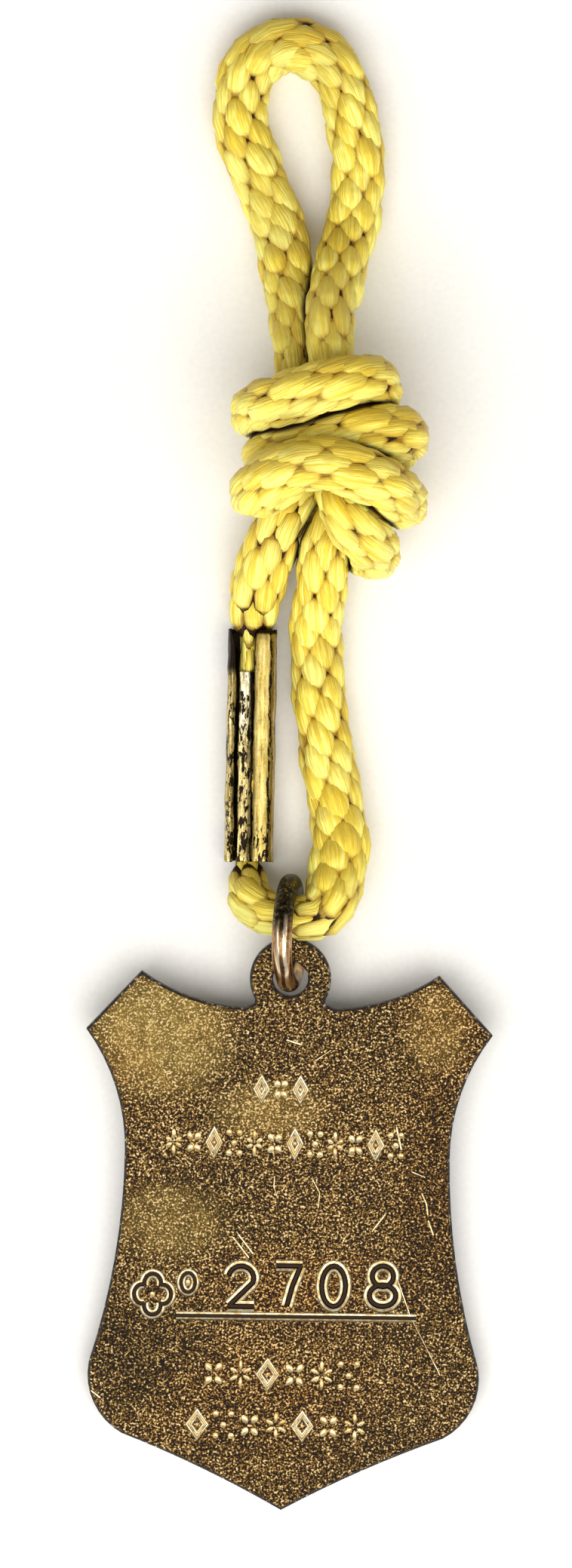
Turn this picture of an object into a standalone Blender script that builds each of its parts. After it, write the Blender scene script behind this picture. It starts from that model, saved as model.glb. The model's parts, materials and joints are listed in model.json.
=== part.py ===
"""Enclosure badge: a horned metal shield on a jump ring, carried by a knotted and crimped neck cord.

The badge lies on its back. X runs across the shield, +Y from its tip to its lug, +Z up.
Sizes are in millimetres here and become metres where meshes are placed.
The origin is the bottom centre of the box round the metal pieces.
"""
import math

import bmesh
import bpy
import numpy as np
from mathutils import Matrix, Vector

METRES_PER_MM = 0.001

# Shield and lug
HORN_SPAN = 30.0            # between the outer corners of the two horns
SHIELD_REACH = 39.4         # from the middle of the lug's hole to the tip
PLATE_THICKNESS = 1.5
LUG_DIAMETER = 6.0
LUG_HOLE_DIAMETER = 2.6
NECK_WIDTH = 5.2            # where the lug runs down into the top edge

# Jump ring
RING_DIAMETER = 8.8
RING_WIRE = 1.5
RING_LEAN = math.radians(8.3)   # its top leans to the left
RING_ACROSS = -0.14             # its middle, seen from the hole of the lug
RING_HOLE_GAP = 0.25            # its wire to the far side of the hole

# Crimp tube, bent from sheet
CRIMP_LENGTH = 17.2
CRIMP_WIDTH = 3.6
CRIMP_HEIGHT = 3.4
CRIMP_SHEET = 0.35
CRIMP_ACROSS = -3.26            # its middle, seen from the hole of the lug
CRIMP_ALONG = 17.1
CRIMP_CORNER = 0.75             # radius at the middle of the sheet
CRIMP_SEAM = 0.3                # between the two edges of the sheet
CRIMP_WING = 0.45               # how far the left edge folds over the top
CRIMP_LOBE = 1.45               # how far the right side folds over the top
CRIMP_STEP = 0.5                # how far the middle strip lies below the two folds
CRIMP_NOTCH = 3.1               # the strip starts this far below the upper end

# Neck cord
CORD_DIAMETER = 4.1
CLEARANCE = 0.25                # between pieces that touch

# How finely round shapes are cut into facets
ARC_FACETS = 8
LUG_FACETS = 16
HOLE_FACETS = 24
RING_FACETS = 32
WIRE_FACETS = 12
CRIMP_FACETS = 4
CORD_FACETS = 3                 # in each quarter of the cord's section

# Half of the shield's outline from the neck to the tip, in shares of half HORN_SPAN across and of
# SHIELD_REACH down. A bow is a point that the curve passes on its way to the next corner.
OUTLINE = (
    # name         kind      across  down
    ("top dip",    "corner", 0.220,  0.056),
    ("top edge",   "bow",    0.489,  0.0373),
    ("horn inner", "corner", 0.733, -0.010),
    ("horn outer", "corner", 1.000,  0.100),
    ("upper side", "bow",    0.843,  0.218),
    ("waist",      "corner", 0.800,  0.330),
    ("lower side", "bow",    0.847,  0.546),
    ("hip",        "corner", 0.960,  0.728),
    ("hip round",  "bow",    0.943,  0.794),
    ("foot start", "corner", 0.793,  0.860),
    ("foot edge",  "bow",    0.380,  0.926),
    ("tip",        "corner", 0.000,  1.000),
)

# The cord's route, chosen by hand: across and along from the hole of the lug, height above the
# surface, and the share of its diameter that it keeps where it is squeezed.
ROUTE = (
    # in the crimp, and out of its upper end
    (-3.3, 17.9, 1.5, 0.42), (-3.3, 21.8, 1.5, 0.42), (-3.3, 25.95, 1.5, 0.42), (-3.3, 27.0, 1.9, 0.80),
    (-3.15, 27.9, 2.3, 0.94), (-2.6, 30.1, 3.4, 1.02), (-1.8, 32.6, 4.6, 1.00),
    # up through the knot's core, over the top and back round it
    (-0.6, 35.1, 5.1, 0.86), (0.4, 36.9, 4.9, 0.76), (1.8, 38.9, 4.7, 0.74), (3.6, 40.9, 4.9, 0.74),
    (5.1, 42.1, 6.0, 0.80), (5.7, 43.1, 8.5, 0.90), (4.9, 44.3, 11.3, 0.95), (2.8, 43.8, 12.3, 0.97),
    (0.3, 42.9, 12.3, 0.97), (-1.6, 41.5, 11.2, 0.95), (-2.6, 39.9, 7.9, 0.94), (-2.6, 40.4, 3.8, 0.86),
    (-0.7, 40.1, 1.8, 0.82), (2.4, 38.5, 1.7, 0.82), (5.3, 36.7, 1.9, 0.82), (7.1, 35.6, 4.0, 0.88),
    (7.6, 35.2, 7.5, 0.94), (6.6, 35.9, 11.0, 0.95), (4.6, 37.3, 13.0, 0.97), (2.4, 38.2, 13.6, 0.97),
    (0.1, 38.0, 13.3, 0.97), (-2.2, 37.1, 12.2, 0.95), (-3.6, 35.7, 9.6, 0.94), (-3.0, 35.5, 7.4, 0.84),
    (-1.2, 37.2, 7.0, 0.76), (-0.2, 38.9, 7.6, 0.74), (0.0, 41.7, 8.0, 0.76), (-0.1, 44.5, 8.0, 0.78),
    (-0.2, 46.4, 7.0, 0.84), (-0.4, 48.4, 5.5, 0.92),
    # the loop for the button
    (-1.1, 51.2, 3.4, 1.00), (-1.6, 54.5, 2.3, 1.00), (-2.35, 56.7, 2.05, 1.00), (-3.3, 58.9, 2.05, 1.04),
    (-4.35, 61.2, 2.05, 1.02), (-4.95, 63.4, 2.05, 1.00), (-4.75, 65.7, 2.05, 1.00), (-3.7, 68.0, 2.05, 1.02),
    (-1.4, 69.1, 2.05, 1.04), (1.2, 68.2, 2.05, 1.00), (2.7, 66.0, 2.05, 0.98), (3.35, 63.5, 2.05, 0.98),
    (3.9, 60.8, 2.05, 0.97), (3.85, 58.0, 2.05, 0.96), (3.4, 55.4, 2.6, 0.96), (2.85, 53.2, 4.0, 0.97),
    (2.4, 50.9, 6.0, 0.98), (1.8, 48.4, 8.0, 0.92),
    # the second strand, down through the knot and round it beside the first
    (1.8, 45.6, 8.3, 0.82), (2.4, 42.8, 8.0, 0.76), (2.8, 40.1, 7.8, 0.74), (2.7, 37.8, 8.6, 0.80),
    (3.3, 35.3, 11.0, 0.93), (4.4, 33.2, 11.6, 0.97), (5.6, 32.1, 9.0, 0.93), (5.6, 31.2, 5.5, 0.90),
    (4.1, 31.6, 2.3, 0.84), (1.9, 33.3, 1.8, 0.82), (-0.6, 35.1, 1.8, 0.82), (-2.2, 37.1, 2.7, 0.78),
    (-2.5, 38.9, 6.0, 0.76), (-1.7, 39.9, 9.3, 0.80), (0.7, 39.7, 10.7, 0.84), (3.6, 40.2, 11.2, 0.92),
    (6.3, 41.0, 10.9, 0.96), (7.6, 40.6, 8.0, 0.95), (7.1, 39.2, 5.2, 0.86), (5.3, 37.3, 4.8, 0.76),
    (3.5, 35.2, 4.9, 0.78), (2.3, 32.9, 5.1, 0.88),
    # the right leg, through the ring and up into the crimp
    (2.0, 30.7, 4.5, 0.95), (1.7, 28.2, 3.3, 0.95), (1.45, 25.8, 2.4, 0.95), (1.55, 23.3, 2.05, 0.96),
    (1.8, 20.2, 2.05, 0.98), (2.35, 16.6, 2.05, 1.00), (3.1, 13.2, 2.05, 1.00), (3.5, 9.9, 2.5, 1.02),
    (3.3, 7.4, 3.5, 1.02), (2.7, 5.3, 4.6, 1.00), (1.7, 4.35, 5.1, 0.88), (0.4, 4.4, 5.1, 0.67),
    (-0.8, 4.5, 5.05, 0.68), (-2.1, 4.8, 4.4, 0.84), (-3.2, 6.0, 3.0, 0.84), (-3.3, 8.1, 1.5, 0.42),
    (-3.3, 12.0, 1.5, 0.42), (-3.3, 16.6, 1.5, 0.42),
)
KNOT_BETWEEN = (27.5, 49.0)     # along, the stretch where the strands settle against each other
PATH_CUTS = 12                  # readings between two points of the route
PATH_STEP = 0.6                 # spacing of the fine path
NEIGHBOURS = 12                 # steps along the cord that never count as touching
SETTLE_ROUNDS = 400
PART = 0.9                      # share of an overlap that one round takes out
EASE = 0.05                     # share of a bend that one round straightens
RETURN_ACROSS = 0.04            # share of the way back to the drawn route, seen from above
RETURN_UP = 0.016               # and in height
KNOT_SLACK = 0.90               # tube to strand where the strands press on each other
TUBE_TURN = math.radians(32)    # a point is kept where the cord has turned this far
TUBE_STEP = 8.0                 # or run this far
TUBE_SWELL = 0.4                # or swelled this much

# The finishes: colour, roughness, metallic
FINISHES = {
    "aged_bronze": ((0.25, 0.17, 0.09), 0.48, 0.9),
    "copper_bronze": ((0.30, 0.14, 0.06), 0.30, 1.0),
    "worn_brass": ((0.55, 0.42, 0.20), 0.35, 1.0),
    "yellow_braid": ((0.86, 0.66, 0.10), 0.55, 0.0),
}

# Places that follow from the sizes
RING_MIDDLE_RADIUS = (RING_DIAMETER - RING_WIRE) / 2
RING_INNER_RADIUS = RING_DIAMETER / 2 - RING_WIRE
RING_HEIGHT = RING_MIDDLE_RADIUS * math.cos(RING_LEAN) + RING_WIRE / 2
RING_ALONG = RING_DIAMETER / 2 - LUG_HOLE_DIAMETER / 2 + RING_HOLE_GAP


def lug_lift():
    """Height of the lug's underside: the near edge of its hole rests on the wire inside the ring."""
    reach = RING_ALONG - LUG_HOLE_DIAMETER / 2
    room = RING_INNER_RADIUS - CLEARANCE
    return RING_HEIGHT - math.sqrt(room ** 2 - reach ** 2)


LUG_LIFT = lug_lift()
TILT = math.asin(LUG_LIFT / SHIELD_REACH)
CRIMP_TOP = CRIMP_ALONG + CRIMP_LENGTH / 2
TIP_ALONG = -SHIELD_REACH * math.cos(TILT) - PLATE_THICKNESS * math.sin(TILT)
HOLE_ALONG = -(CRIMP_TOP + TIP_ALONG) / 2      # puts the origin in the middle of the metal's box


def clear_scene():
    for item in list(bpy.data.objects):
        bpy.data.objects.remove(item, do_unlink=True)


def finish(name):
    colour, roughness, metallic = FINISHES[name]
    material = bpy.data.materials.new(name)
    material.use_nodes = True
    shader = material.node_tree.nodes["Principled BSDF"]
    shader.inputs["Base Color"].default_value = (*colour, 1.0)
    shader.inputs["Roughness"].default_value = roughness
    shader.inputs["Metallic"].default_value = metallic
    return material


def add_piece(name, mesh, material_name):
    piece = bpy.data.objects.new(name, mesh)
    piece.data.materials.append(finish(material_name))
    bpy.context.collection.objects.link(piece)
    return piece


def mesh_from(form, name, smooth_angle=math.radians(35)):
    """A mesh in metres from a bmesh in millimetres."""
    bmesh.ops.recalc_face_normals(form, faces=form.faces)
    bmesh.ops.scale(form, vec=(METRES_PER_MM,) * 3, verts=form.verts)
    mesh = bpy.data.meshes.new(name)
    form.to_mesh(mesh)
    form.free()
    mesh.shade_smooth()
    mesh.set_sharp_from_angle(angle=smooth_angle)
    return mesh


def arc_through(start, bow, end, facets):
    """Points after start, up to end, on the circle through three points."""
    start, bow, end = Vector(start), Vector(bow), Vector(end)
    to_bow, to_end = bow - start, end - start
    turn = 2 * (to_bow.x * to_end.y - to_bow.y * to_end.x)
    middle = start + Vector((to_end.y * to_bow.length_squared - to_bow.y * to_end.length_squared,
                             to_bow.x * to_end.length_squared - to_end.x * to_bow.length_squared)) / turn
    first, last = start - middle, end - middle
    sweep = math.atan2(first.x * last.y - first.y * last.x, first.dot(last))
    return [middle + Matrix.Rotation(sweep * step / facets, 2) @ first for step in range(1, facets + 1)]


def half_outline():
    """The right half of the shield and lug, from the top of the lug to the tip."""
    radius = LUG_DIAMETER / 2
    neck_turn = math.asin(NECK_WIDTH / 2 / radius)
    points = []
    for step in range(LUG_FACETS + 1):
        turn = (math.pi - neck_turn) * step / LUG_FACETS
        points.append(Vector((radius * math.sin(turn), radius * math.cos(turn))))
    table = [(kind, Vector((across * HORN_SPAN / 2, -down * SHIELD_REACH)))
             for _, kind, across, down in OUTLINE]
    points.append(Vector((NECK_WIDTH / 2, table[0][1].y + (table[0][1].x - NECK_WIDTH / 2) / 2)))
    bow = None
    for kind, place in table:
        if kind == "bow":
            bow = place
        elif bow is None:
            points.append(place)
        else:
            points += arc_through(points[-1], bow, place, ARC_FACETS)
            bow = None
    return points


def extruded(outline, depth):
    """A closed prism: the outline on the XY plane, carried up by depth."""
    form = bmesh.new()
    corners = [form.verts.new((x, y, 0.0)) for x, y in outline]
    face = form.faces.new(corners)
    moved = bmesh.ops.extrude_face_region(form, geom=[face])
    risen = [item for item in moved["geom"] if isinstance(item, bmesh.types.BMVert)]
    bmesh.ops.translate(form, vec=(0.0, 0.0, depth), verts=risen)
    return form


def cut_away(piece, cutter_form, name):
    """Takes a closed form out of a piece."""
    cutter = bpy.data.objects.new(name, mesh_from(cutter_form, name))
    bpy.context.collection.objects.link(cutter)
    cutter.hide_render = True
    cutter.display_type = "WIRE"
    cutter.parent = piece
    cut = piece.modifiers.new(name, "BOOLEAN")
    cut.operation = "DIFFERENCE"
    cut.solver = "EXACT"
    cut.object = cutter


def badge_shield():
    right = half_outline()
    left = [Vector((-point.x, point.y)) for point in reversed(right[1:-1])]
    shield = add_piece("badge_shield", mesh_from(extruded(right + left, PLATE_THICKNESS), "badge_shield"),
                       "aged_bronze")
    shield.location = Vector((0.0, HOLE_ALONG, LUG_LIFT)) * METRES_PER_MM
    shield.rotation_euler = (TILT, 0.0, 0.0)
    drill = bmesh.new()
    bmesh.ops.create_cone(drill, cap_ends=True, segments=HOLE_FACETS, radius1=LUG_HOLE_DIAMETER / 2,
                          radius2=LUG_HOLE_DIAMETER / 2, depth=PLATE_THICKNESS * 3)
    cut_away(shield, drill, "hole_drill")


def jump_ring():
    wire = bmesh.new()
    round_wire = bmesh.ops.create_circle(wire, cap_ends=False, segments=WIRE_FACETS, radius=RING_WIRE / 2)
    bmesh.ops.translate(wire, vec=(0.0, -RING_MIDDLE_RADIUS, 0.0), verts=round_wire["verts"])
    bmesh.ops.spin(wire, geom=wire.verts[:] + wire.edges[:], cent=(0.0, 0.0, 0.0), axis=(1.0, 0.0, 0.0),
                   angle=math.tau, steps=RING_FACETS, use_merge=True)
    ring = add_piece("jump_ring", mesh_from(wire, "jump_ring", math.pi), "copper_bronze")
    ring.location = Vector((RING_ACROSS, HOLE_ALONG + RING_ALONG, RING_HEIGHT)) * METRES_PER_MM
    ring.rotation_euler = (0.0, -RING_LEAN, 0.0)


def rounded_bends(corners, radius):
    """The middle line of a bent sheet: every corner between the two ends becomes an arc."""
    line = [Vector(corners[0])]
    for before, corner, after in zip(corners, corners[1:], corners[2:]):
        before, corner, after = Vector(before), Vector(corner), Vector(after)
        into, out = (before - corner).normalized(), (after - corner).normalized()
        half = into.angle(out) / 2
        room = min((before - corner).length, (after - corner).length) / 2
        back = min(radius / math.tan(half), room)
        start, end = corner + into * back, corner + out * back
        middle = corner + (into + out).normalized() * back / math.cos(half)
        reach = (start - middle).length
        bow = middle - (into + out).normalized() * reach
        line += [start] + arc_through(start, bow, end, CRIMP_FACETS)
    line.append(Vector(corners[-1]))
    return line


def sheet_outline(line, thickness):
    """The edge of a sheet whose middle follows the line."""
    near, far = [], []
    for index, point in enumerate(line):
        before, after = line[max(index - 1, 0)], line[min(index + 1, len(line) - 1)]
        into = (point - before).normalized() if index else (after - point).normalized()
        out = (after - point).normalized() if index < len(line) - 1 else into
        side = Vector((-(into + out).y, (into + out).x)).normalized()
        spread = thickness / 2 / max(side.dot(Vector((-into.y, into.x))), 0.5)
        near.append(point + side * spread)
        far.append(point - side * spread)
    return near + far[::-1]


def crimp_section():
    """The crimp's sheet seen along the cord: left wing, back, right fold, then the sunk strip."""
    side = (CRIMP_WIDTH - CRIMP_SHEET) / 2
    floor, top = CRIMP_SHEET / 2, CRIMP_HEIGHT - CRIMP_SHEET / 2
    wing_edge, lobe_edge = -side + CRIMP_WING, side - CRIMP_LOBE
    corners = ((wing_edge, top), (-side, top), (-side, floor), (side, floor), (side, top), (lobe_edge, top),
               (lobe_edge - CRIMP_STEP / 2, top - CRIMP_STEP), (wing_edge + CRIMP_SEAM, top - CRIMP_STEP))
    return sheet_outline(rounded_bends(corners, CRIMP_CORNER), CRIMP_SHEET)


def cord_crimp():
    tube = extruded(crimp_section(), CRIMP_LENGTH)
    # The section stands upright and the tube runs along Y, from its lower end.
    bmesh.ops.rotate(tube, matrix=Matrix.Rotation(math.pi / 2, 3, "X"), verts=tube.verts)
    bmesh.ops.translate(tube, vec=(0.0, CRIMP_LENGTH, 0.0), verts=tube.verts)
    crimp = add_piece("cord_crimp", mesh_from(tube, "cord_crimp"), "worn_brass")
    low_end = HOLE_ALONG + CRIMP_ALONG - CRIMP_LENGTH / 2
    crimp.location = Vector((CRIMP_ACROSS, low_end, 0.0)) * METRES_PER_MM
    left = -(CRIMP_WIDTH - CRIMP_SHEET) / 2 + CRIMP_WING + CRIMP_SEAM / 2
    right = (CRIMP_WIDTH - CRIMP_SHEET) / 2 - CRIMP_LOBE
    notch = bmesh.new()
    bmesh.ops.create_cube(notch, size=1.0)
    bmesh.ops.scale(notch, vec=(right - left, CRIMP_NOTCH * 2, CRIMP_HEIGHT), verts=notch.verts)
    bmesh.ops.translate(notch, vec=((left + right) / 2, CRIMP_LENGTH, CRIMP_HEIGHT), verts=notch.verts)
    cut_away(crimp, notch, "strip_notch")


def smooth_path(route):
    """A curve through the route's points, read at even steps."""
    rows = np.array(route)
    rows = np.vstack([2 * rows[0] - rows[1], rows, 2 * rows[-1] - rows[-2]])
    share = np.linspace(0.0, 1.0, PATH_CUTS, endpoint=False)[:, None]
    pieces = []
    for before, start, end, after in zip(rows, rows[1:], rows[2:], rows[3:]):
        pieces.append(start + (end - before) * share / 2
                      + (2 * before - 5 * start + 4 * end - after) * share ** 2 / 2
                      + (3 * start - before - 3 * end + after) * share ** 3 / 2)
    fine = np.vstack(pieces + [rows[-2][None]])
    run = np.concatenate([[0.0], np.cumsum(np.linalg.norm(np.diff(fine[:, :3], axis=0), axis=1))])
    even = np.linspace(0.0, run[-1], round(run[-1] / PATH_STEP) + 1)
    return np.stack([np.interp(even, run, column) for column in fine.T], axis=1)


def settled(path):
    """The path with the knot's strands pushed apart until they only touch, nothing below the surface."""
    place, radius = path[:, :3].copy(), path[:, 3] * CORD_DIAMETER / 2
    drawn = place.copy()
    loose = np.flatnonzero((drawn[:, 1] > KNOT_BETWEEN[0]) & (drawn[:, 1] < KNOT_BETWEEN[1]))
    one, other = np.triu_indices(len(loose), 1)
    one, other = loose[one], loose[other]
    apart = other - one >= NEIGHBOURS
    one, other = one[apart], other[apart]
    touch = radius[one] + radius[other]
    back = np.array([RETURN_ACROSS, RETURN_ACROSS, RETURN_UP])
    for _ in range(SETTLE_ROUNDS):
        gap = place[other] - place[one]
        length = np.linalg.norm(gap, axis=1)
        near = length < touch
        push = ((touch - length) / length / 2)[near][:, None] * gap[near]
        shift, count = np.zeros_like(place), np.zeros(len(place))
        np.add.at(shift, one[near], -push)
        np.add.at(shift, other[near], push)
        np.add.at(count, one[near], 1)
        np.add.at(count, other[near], 1)
        place[loose] += PART * (shift / np.maximum(count, 1)[:, None])[loose]
        ease = (place[loose - 2] + place[loose + 2]) / 2 - place[loose]
        place[loose] += EASE * ease
        place[loose] += back * (drawn - place)[loose]
        place[:, 2] = np.maximum(place[:, 2], radius)
    return np.column_stack([place, radius])


def thinned(path):
    """The fine path's points where the cord has turned or run far enough since the last one."""
    kept, turned, run = [0], 0.0, 0.0
    for index in range(1, len(path) - 1):
        into, out = path[index, :3] - path[index - 1, :3], path[index + 1, :3] - path[index, :3]
        cosine = into @ out / np.linalg.norm(into) / np.linalg.norm(out)
        turned += math.acos(min(1.0, max(-1.0, cosine)))
        run += np.linalg.norm(into)
        swell = abs(path[index, 3] - path[kept[-1], 3])
        if turned > TUBE_TURN or run > TUBE_STEP or swell > TUBE_SWELL:
            kept.append(index)
            turned, run = 0.0, 0.0
    return path[kept + [len(path) - 1]]


def neck_cord():
    points = thinned(settled(smooth_path(ROUTE)))
    line = bpy.data.curves.new("neck_cord", "CURVE")
    line.dimensions = "3D"
    line.bevel_depth = CORD_DIAMETER / 2 * METRES_PER_MM
    line.bevel_resolution = CORD_FACETS
    line.use_fill_caps = True
    spline = line.splines.new("POLY")
    spline.points.add(len(points) - 1)
    for point, (across, along, height, radius) in zip(spline.points, points):
        in_knot = KNOT_BETWEEN[0] < along < KNOT_BETWEEN[1]
        point.co = (*(Vector((across, HOLE_ALONG + along, height)) * METRES_PER_MM), 1.0)
        point.radius = radius / (CORD_DIAMETER / 2) * (KNOT_SLACK if in_knot else 1.0)
    spline.use_smooth = True
    add_piece("neck_cord", line, "yellow_braid")


def main():
    clear_scene()
    badge_shield()
    jump_ring()
    cord_crimp()
    neck_cord()


main()
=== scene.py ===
# %% [markdown]
# # A shield badge on a braided neck cord
#
# The badge is a struck metal shield that hangs by a wire ring from a yellow braided cord. The cord
# is knotted into a loop for a button, and a small brass tube holds its two ends together. It lies
# on pale paper and is seen from straight above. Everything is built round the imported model: that
# model is loaded first, and each piece made here stands exactly where its solid stands.

import json
import math

import bmesh
import bpy
import numpy as np
from mathutils import Matrix, Vector, noise


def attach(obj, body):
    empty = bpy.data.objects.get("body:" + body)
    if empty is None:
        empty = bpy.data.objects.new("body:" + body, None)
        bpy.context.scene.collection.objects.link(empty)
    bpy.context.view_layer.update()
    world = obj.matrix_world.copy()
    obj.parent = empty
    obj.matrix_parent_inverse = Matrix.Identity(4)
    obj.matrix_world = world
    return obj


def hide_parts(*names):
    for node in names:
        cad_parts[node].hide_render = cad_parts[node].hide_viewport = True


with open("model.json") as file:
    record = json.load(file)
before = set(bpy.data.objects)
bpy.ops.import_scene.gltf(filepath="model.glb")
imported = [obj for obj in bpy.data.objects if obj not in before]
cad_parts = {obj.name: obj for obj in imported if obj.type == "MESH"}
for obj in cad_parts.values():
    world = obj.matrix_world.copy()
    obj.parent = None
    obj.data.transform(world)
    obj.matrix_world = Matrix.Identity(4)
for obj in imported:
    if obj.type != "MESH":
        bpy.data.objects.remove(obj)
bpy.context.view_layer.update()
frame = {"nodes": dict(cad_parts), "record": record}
MM = 0.001
print("solids:", sorted(frame["nodes"]))


def placed(name, data):
    """A new object, linked into the scene."""
    item = bpy.data.objects.new(name, data)
    bpy.context.scene.collection.objects.link(item)
    return item


def mesh_of(form, name):
    """A new mesh from a bmesh, which is then freed."""
    mesh = bpy.data.meshes.new(name)
    form.to_mesh(mesh)
    form.free()
    return mesh


# %% [markdown]
# ## Where the shield lies
#
# The lug end of the shield rests on its ring, so the plate leans a few degrees. The record's mount
# on its back gives that lean, and the solid's own corners give the middle of the hole. All places
# on the shield are then written as a die cutter would write them: in millimetres across and along
# from the hole, on a flat plate.

# %% Lay out the shield's own frame
LUG_DIAMETER = 6.0
PLATE_THICKNESS = 1.5


def lean_of_plate():
    back = next(mount for mount in frame["record"]["mounts"] if mount["name"] == "badge_back")
    return math.asin(back["axis"][1])


def plate_frame():
    """The matrix that takes a place on the flat plate, in millimetres, to the model's frame, in metres."""
    lean = Matrix.Rotation(lean_of_plate(), 4, "X")
    corners = [lean.inverted() @ (vertex.co / MM) for vertex in frame["nodes"]["badge_shield"].data.vertices]
    hole = max(corner.y for corner in corners) - LUG_DIAMETER / 2
    underside = min(corner.z for corner in corners)
    return Matrix.Scale(MM, 4) @ lean @ Matrix.Translation((0.0, hole, underside))


ON_PLATE = plate_frame()
HOLE = ON_PLATE @ Vector((0.0, 0.0, 0.0)) / MM
print("lean of the plate:", round(math.degrees(lean_of_plate()), 2), "degrees; hole at", HOLE)

# %% [markdown]
# ## Camera
#
# The photo was taken from straight above, with the shield turned by a degree in the picture. A long
# lens from far away keeps the tall knot from swelling towards the edge of the picture.

# %% Set the camera
PICTURE_WIDE, PICTURE_HIGH = 758, 2079  # pixels
PIXELS_PER_MM = 17.9
HOLE_PIXEL = (385, 1296)  # where the photo has the hole of the lug
SHIELD_TURN = math.radians(1.053)  # how far the shield is turned in the photo
CAMERA_UP = 1500.0  # millimetres above the paper
SENSOR = 36.0
SEES_TO = 10.0  # metres


def picture_middle():
    """The point of the paper that the middle of the picture shows, in millimetres."""
    across = (PICTURE_WIDE / 2 - HOLE_PIXEL[0]) / PIXELS_PER_MM
    along = (HOLE_PIXEL[1] - PICTURE_HIGH / 2) / PIXELS_PER_MM
    turned = Matrix.Rotation(SHIELD_TURN, 2) @ Vector((across, along))
    return Vector((turned.x, turned.y + HOLE.y, 0.0))


def set_camera():
    lens = bpy.data.cameras.new("camera_above")
    lens.sensor_width = SENSOR
    lens.lens = SENSOR * CAMERA_UP / (PICTURE_HIGH / PIXELS_PER_MM)
    lens.clip_end = SEES_TO
    camera = placed("camera_above", lens)
    camera.location = (picture_middle() + Vector((0.0, 0.0, CAMERA_UP))) * MM
    camera.rotation_euler = (0.0, 0.0, SHIELD_TURN)
    bpy.context.scene.camera = camera
    return lens


print("lens:", round(set_camera().lens), "mm over", CAMERA_UP, "mm")

# %% [markdown]
# ## Shader sums that read like sums
#
# Worn metal and dyed yarn have no single colour: each finish here is a sum of noises and masks.
# Written as nodes and links, such a sum takes pages, so one small class wraps a node's output and
# gives it Python's own signs, and another adds any node from its type, its settings and its inputs.
# A finish is such a set of nodes in a material, and the light of the room is one in the world.

# %% Wrap the shader nodes
SHADER_INPUTS = {"colour": "Base Color", "roughness": "Roughness", "metallic": "Metallic",
                 "specular": "Specular IOR Level", "normal": "Normal"}


def sign(operation, turned=False):
    """The method that makes a sign between two readings a Math node."""
    def method(self, other):
        return self.nodes.maths(operation, *((other, self) if turned else (self, other)))
    return method


class Reading:
    """The output of a node. A sign between two readings adds the Math node for it."""
    __add__ = __radd__ = sign("ADD")
    __sub__, __rsub__ = sign("SUBTRACT"), sign("SUBTRACT", turned=True)
    __mul__ = sign("MULTIPLY")

    def __init__(self, nodes, socket):
        self.nodes = nodes
        self.socket = socket

    def between(self, low, high):
        """0 at low and below, 1 at high and above, smooth between them."""
        settings = {"interpolation_type": "SMOOTHSTEP"}
        values = {"Value": self, "From Min": low, "From Max": high}
        return self.nodes.add("ShaderNodeMapRange", settings, values)


class Nodes:
    """A node tree whose nodes are added by name."""

    def __init__(self, tree):
        self.tree = tree

    def add(self, kind, settings=None, values=None, output=0):
        node = self.tree.nodes.new(kind)
        for name, setting in (settings or {}).items():
            setattr(node, name, setting)
        for name, value in (values or {}).items():
            self.feed(node.inputs[name], value)
        return Reading(self, node.outputs[output])

    def feed(self, socket, value):
        if isinstance(value, Reading):
            self.tree.links.new(value.socket, socket)
        elif isinstance(value, tuple) and socket.type == "RGBA":
            socket.default_value = (*value, 1.0)
        else:
            socket.default_value = value

    def maths(self, operation, *values):
        return self.add("ShaderNodeMath", {"operation": operation}, dict(enumerate(values)))

    def split(self, where):
        """The three numbers of a place."""
        first = self.add("ShaderNodeSeparateXYZ", values={"Vector": where})
        return [Reading(self, socket) for socket in first.socket.node.outputs]


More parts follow.
